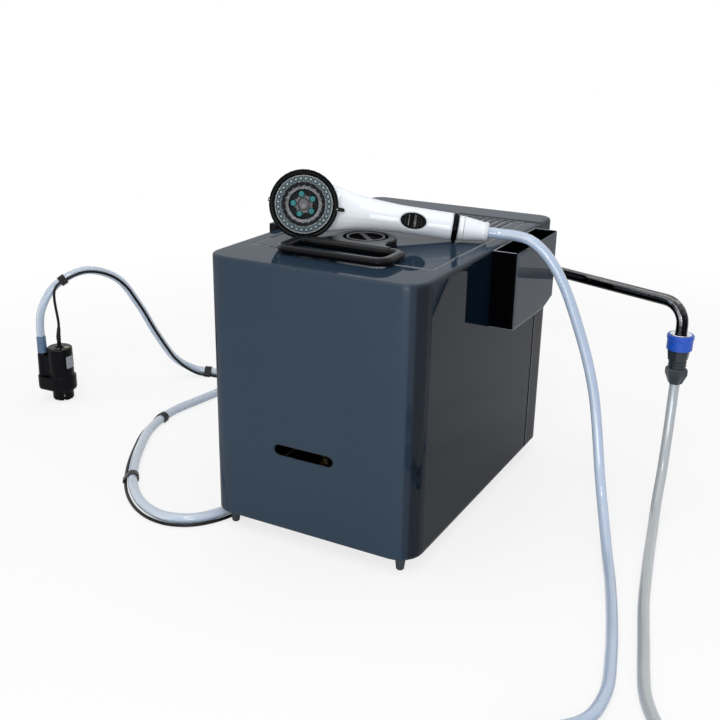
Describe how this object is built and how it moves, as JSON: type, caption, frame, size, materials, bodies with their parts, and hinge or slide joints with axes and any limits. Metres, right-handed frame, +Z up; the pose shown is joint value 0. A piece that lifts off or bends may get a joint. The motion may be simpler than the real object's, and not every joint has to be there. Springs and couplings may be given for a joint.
{
  "type": "portable gas water heater",
  "caption": "Portable gas water heater: dark boxy casing with folding carry handle, swivel spout, hand shower, hoses and a small submersible pump.",
  "frame": {"origin": "centre in plan of the heater's box without its hoses, cable and pump, on the floor", "axes": "+X to the right of the front, +Y to the back, +Z up"},
  "size_m": [1.0366, 0.758, 0.397],
  "materials": {
    "shell_paint": "dark navy gloss paint over sheet steel",
    "top_paint": "dark navy gloss paint over sheet steel",
    "black_plastic": "black satin plastic",
    "white_plastic": "white gloss plastic",
    "teal_rubber": "soft blue-grey nozzles and sleeve",
    "blue_plastic": "bright blue",
    "slate_plastic": "dark slate plastic",
    "chrome": "polished",
    "steel": "plain steel sheet and screws",
    "brass": "cast and turned brass",
    "copper": "soldered copper",
    "hose_plastic": "translucent pale blue tube",
    "foot_rubber": "dark rubber",
    "cable_rubber": "black cable sheath"
  },
  "bodies": {
    "heater": {"front_shell": "shell_paint", "top_plate": "top_paint", "rear_cover": "shell_paint", "base_plate": "steel", "foot_front_left": "foot_rubber", "foot_front_right": "foot_rubber", "foot_rear_left": "foot_rubber", "foot_rear_right": "foot_rubber", "cover_screw_left": "steel", "cover_screw_right": "steel", "side_pocket": "shell_paint", "pocket_screw_front": "steel", "pocket_screw_rear": "steel", "side_bracket": "black_plastic", "handle_hub": "black_plastic", "outlet_elbow": "chrome", "spout_nut": "chrome", "shower_body": "white_plastic", "nozzle_ring": "teal_rubber", "spray_disc": "slate_plastic", "shower_band": "black_plastic", "hose_nut": "white_plastic", "shower_hose": "hose_plastic", "hose_coil": "hose_plastic", "return_hose": "hose_plastic", "pump_strainer": "black_plastic", "pump_base": "black_plastic", "pump_body": "black_plastic", "pump_motor": "steel", "outlet_sleeve": "teal_rubber", "pump_hose": "hose_plastic", "pump_cable": "cable_rubber", "cable_clip_1": "black_plastic", "cable_clip_2": "black_plastic", "cable_clip_3": "black_plastic", "cable_clip_4": "black_plastic", "dc_plug": "black_plastic", "dc_socket": "black_plastic", "water_inlet": "black_plastic", "gas_inlet": "brass", "gas_valve": "brass", "burner": "steel", "combustion_chamber": "copper", "heat_exchanger": "copper", "flue_hood": "steel", "gas_manifold": "brass", "spark_electrode": "white_plastic", "spark_module": "black_plastic", "battery_pack": "slate_plastic", "water_valve": "brass"},
    "handle": {"handle_bail": "black_plastic"},
    "knob": {"control_knob": "black_plastic", "knob_spindle": "brass"},
    "spout": {"spout_pipe": "chrome", "connector_body": "slate_plastic", "connector_nut": "slate_plastic"},
    "collar": {"connector_collar": "blue_plastic"},
    "selector": {"shower_ring": "black_plastic"},
    "button": {"pause_button": "black_plastic"},
    "impeller": {"pump_impeller": "white_plastic"}
  },
  "joints": [
    {"name": "handle_fold", "type": "hinge", "parent": "heater", "child": "handle", "pos_m": [-0.09364, -0.1279, 0.3259], "axis": [-1, 0, 0], "range_deg": [0, 95]},
    {"name": "knob_turn", "type": "hinge", "parent": "heater", "child": "knob", "pos_m": [-0.09364, -0.093, 0.3228], "axis": [0, 0, 1], "range_deg": [0, 270]},
    {"name": "spout_swivel", "type": "hinge", "parent": "heater", "child": "spout", "pos_m": [-0.00114, 0.2018, 0.2], "axis": [0, 0, 1], "range_deg": [0, 60]},
    {"name": "collar_slide", "type": "slide", "parent": "spout", "child": "collar", "axis": [0, 0, -1], "range_m": [0, 0.004], "stiffness_N_per_m": 500},
    {"name": "selector_turn", "type": "hinge", "parent": "heater", "child": "selector", "pos_m": [-0.16914, -0.1, 0.3591], "axis": [0.4876, -0.851, 0.1952], "range_deg": [-30, 30]},
    {"name": "pause_press", "type": "slide", "parent": "heater", "child": "button", "axis": [-0.415, 0.8863, -0.2055], "range_m": [0, 0.0022], "stiffness_N_per_m": 400},
    {"name": "impeller_spin", "type": "hinge", "parent": "heater", "child": "impeller", "pos_m": [-0.64814, -0.0165, 0.0175], "axis": [0, 0, 1], "continuous": true}
  ]
}
